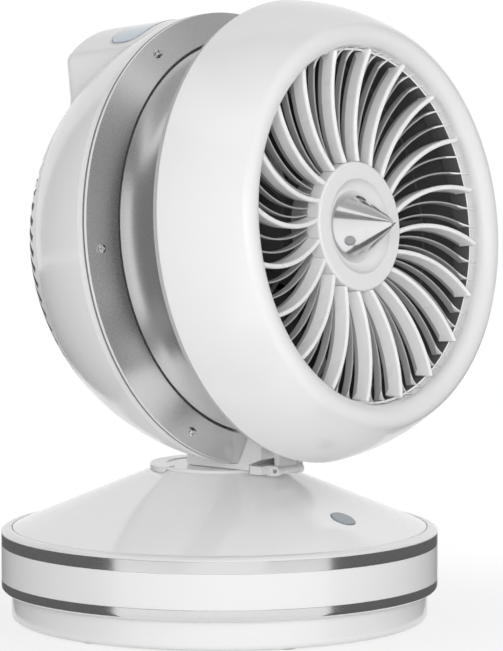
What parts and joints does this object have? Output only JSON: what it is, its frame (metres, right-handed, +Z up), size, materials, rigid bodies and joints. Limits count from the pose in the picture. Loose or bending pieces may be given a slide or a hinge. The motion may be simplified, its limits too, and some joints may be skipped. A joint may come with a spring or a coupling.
{
  "type": "table fan",
  "caption": "Table fan with a turbine-style round head on a swinging, tilting neck: vaned outlet with a chrome nose cone, waisted silver duct, domed rear intake, round weighted base.",
  "frame": {"origin": "on the table, under the centre of the round base", "axes": "+Z up, front (air outlet) towards -Y, X to the right seen from the front"},
  "size_m": [0.2794, 0.2736, 0.3818],
  "materials": {
    "white_gloss": "glossy white moulding",
    "white_satin": "satin white moulding",
    "silver": "satin silver",
    "silver_duct": "silver painted moulding",
    "chrome": "bright plating",
    "steel": "bare steel",
    "motor_steel": "zinc plated cans",
    "bronze": "sintered bronze",
    "gear_nylon": "natural nylon",
    "dark_plastic": "dark grey moulding",
    "rubber": "soft rubber",
    "lens": "smoked grey-blue",
    "window": "pale blue-grey",
    "board": "green circuit board"
  },
  "bodies": {
    "base": {"foot_ring": "white_gloss", "rubber_feet": "rubber", "floor_plate": "dark_plastic", "lower_trim": "silver", "base_drum": "white_gloss", "upper_trim": "silver", "shoulder_ring": "white_gloss", "cone_cover": "white_gloss", "receiver_lens": "lens", "ballast_ring": "steel", "chassis": "dark_plastic", "base_screws": "steel", "chassis_screws": "steel", "upper_bush": "bronze", "lower_bush": "bronze", "swing_motor": "motor_steel", "control_board": "board", "cord_gland": "rubber"},
    "pinion": {"drive_pinion": "gear_nylon"},
    "neck": {"turntable": "white_gloss", "spindle_gear": "gear_nylon", "retaining_clip": "steel", "tilt_pin": "steel"},
    "head": {"neck_block": "white_gloss", "block_screws": "steel", "rear_housing": "white_gloss", "rear_grille": "white_satin", "ring_plate": "silver", "ring_screws": "chrome", "duct": "silver_duct", "front_shroud": "white_gloss", "outlet_vanes": "white_gloss", "hub_cap": "white_gloss", "nose_cone": "chrome", "motor_mount": "dark_plastic", "fan_motor": "motor_steel", "motor_bearings": "steel", "display_window": "window", "display_board": "board"},
    "rotor": {"impeller": "dark_plastic", "motor_shaft": "steel", "impeller_nut": "dark_plastic"}
  },
  "joints": [
    {"name": "oscillation", "type": "hinge", "parent": "base", "child": "neck", "pos_m": [0, 0, 0.07], "axis": [0, 0, 1], "range_deg": [-45, 45]},
    {"name": "pinion_spin", "type": "hinge", "parent": "base", "child": "pinion", "pos_m": [0.04, 0, 0.06], "axis": [0, 0, 1], "range_deg": [-135, 135]},
    {"name": "tilt", "type": "hinge", "parent": "neck", "child": "head", "pos_m": [0, -0.0545, 0.0966], "axis": [1, 0, 0], "range_deg": [0, 12]},
    {"name": "rotor_spin", "type": "hinge", "parent": "head", "child": "rotor", "pos_m": [0, 0, 0.23451], "axis": [0, -0.9932, 0.1167], "continuous": true}
  ],
  "couplings": [
    {"joint": "pinion_spin", "follows": "oscillation", "ratio": -3}
  ]
}
